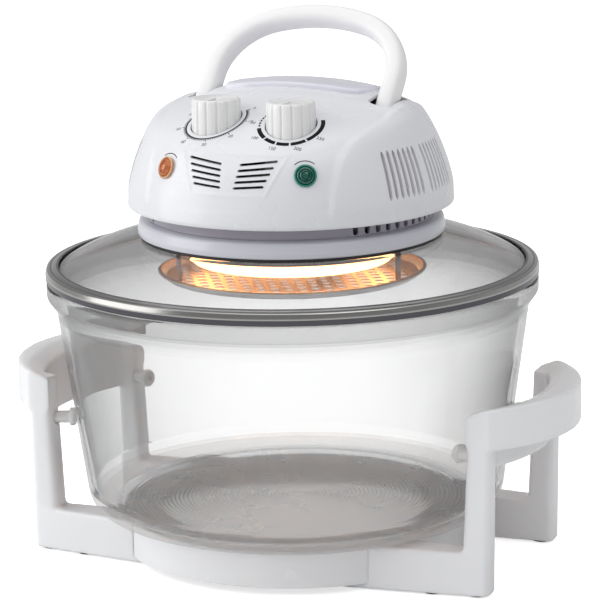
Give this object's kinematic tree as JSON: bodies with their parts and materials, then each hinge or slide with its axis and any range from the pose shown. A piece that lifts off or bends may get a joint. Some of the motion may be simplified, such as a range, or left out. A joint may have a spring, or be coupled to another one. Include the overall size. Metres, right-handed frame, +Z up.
{
  "type": "halogen oven",
  "caption": "Countertop halogen oven: glass bowl in a white stand with side grips, lift-off glass lid carrying a heater, fan, timer and thermostat head with a folding carry handle.",
  "frame": {"origin": "on the floor under the middle of the bowl", "axes": "+Z up; the knobs and lamps face -Y; +X to the right, through the right grip"},
  "size_m": [0.414, 0.345, 0.3786],
  "materials": {
    "white_plastic": "glossy cool white",
    "cap_plastic": "glossy pale grey-lilac",
    "handle_plastic": "satin white",
    "bowl_glass": "clear, thick",
    "lid_glass": "clear",
    "hoop_steel": "polished",
    "seal_rubber": "matt grey silicone",
    "black_rubber": "matt black",
    "fixing_steel": "bright",
    "plated_steel": "zinc plated",
    "mineral_fibre": "fibrous off-white",
    "bright_aluminium": "bright",
    "guard_steel": "perforated, warm from the heater",
    "heater_glass": "glowing quartz",
    "white_ceramic": "matt",
    "copper_winding": "varnished copper wire",
    "bronze": "sintered",
    "black_plastic": "matt black",
    "bell_steel": "bright",
    "bulb_steel": "bright",
    "amber_lens": "translucent amber",
    "green_lens": "translucent green"
  },
  "bodies": {
    "stand": {"base_ring": "white_plastic", "side_frame_left": "white_plastic", "side_frame_right": "white_plastic", "bowl_bumpers": "seal_rubber", "rest_pads": "seal_rubber", "foot_pads": "black_rubber", "frame_screws": "fixing_steel"},
    "bowl": {"glass_bowl": "bowl_glass"},
    "lid": {"lid_glass": "lid_glass", "lid_hoop": "hoop_steel", "lid_seal": "seal_rubber", "head_gasket": "black_rubber", "lower_housing": "white_plastic", "upper_housing": "white_plastic", "top_cap": "cap_plastic", "deck_plate": "plated_steel", "insulation_disc": "mineral_fibre", "reflector": "bright_aluminium", "heater_tube": "heater_glass", "heater_holders": "white_ceramic", "guard_struts": "plated_steel", "heater_guard": "guard_steel", "motor_stator": "plated_steel", "motor_coil": "copper_winding", "motor_bracket_lower": "plated_steel", "motor_bracket_upper": "plated_steel", "motor_bushes": "bronze", "motor_posts": "fixing_steel", "control_plate": "plated_steel", "timer_body": "black_plastic", "timer_bell": "bell_steel", "thermostat_body": "black_plastic", "thermostat_bulb": "bulb_steel", "power_lamp": "green_lens", "heat_lamp": "amber_lens", "lamp_bodies": "black_plastic", "handle_bracket_left": "plated_steel", "handle_bracket_right": "plated_steel", "handle_pins": "fixing_steel", "safety_switch": "black_plastic", "thermal_cutout": "black_plastic", "terminal_block": "black_plastic", "cord_gland": "black_plastic", "deck_screws": "fixing_steel", "housing_screws": "fixing_steel"},
    "handle": {"carry_handle": "handle_plastic"},
    "plunger": {"switch_plunger": "black_plastic"},
    "timer": {"timer_knob": "white_plastic", "timer_shaft": "fixing_steel"},
    "thermostat": {"thermostat_knob": "white_plastic", "thermostat_shaft": "fixing_steel"},
    "rotor": {"motor_rotor": "plated_steel", "motor_shaft": "fixing_steel", "convection_fan": "bright_aluminium", "cooling_fan": "black_plastic"}
  },
  "joints": [
    {"name": "bowl_lift", "type": "slide", "parent": "stand", "child": "bowl", "axis": [0, 0, 1], "range_m": [0, 0.12]},
    {"name": "lid_lift", "type": "slide", "parent": "bowl", "child": "lid", "axis": [0, 0, 1], "range_m": [0, 0.15]},
    {"name": "handle_hinge", "type": "hinge", "parent": "lid", "child": "handle", "pos_m": [0, 0.0035, 0.308], "axis": [1, 0, 0], "range_deg": [0, 42.7]},
    {"name": "plunger_slide", "type": "slide", "parent": "lid", "child": "plunger", "axis": [0, 0, 1], "range_m": [0, 0.0026]},
    {"name": "timer_turn", "type": "hinge", "parent": "lid", "child": "timer", "pos_m": [-0.0275, -0.061, 0.3], "axis": [0, 0, -1], "range_deg": [0, 300]},
    {"name": "thermostat_turn", "type": "hinge", "parent": "lid", "child": "thermostat", "pos_m": [0.0275, -0.061, 0.3], "axis": [0, 0, -1], "range_deg": [0, 270]},
    {"name": "rotor_spin", "type": "hinge", "parent": "lid", "child": "rotor", "pos_m": [0, 0, 0.25], "axis": [0, 0, 1], "continuous": true}
  ],
  "couplings": [
    {"joint": "plunger_slide", "follows": "handle_hinge", "m_per_rad": 0.003354}
  ]
}
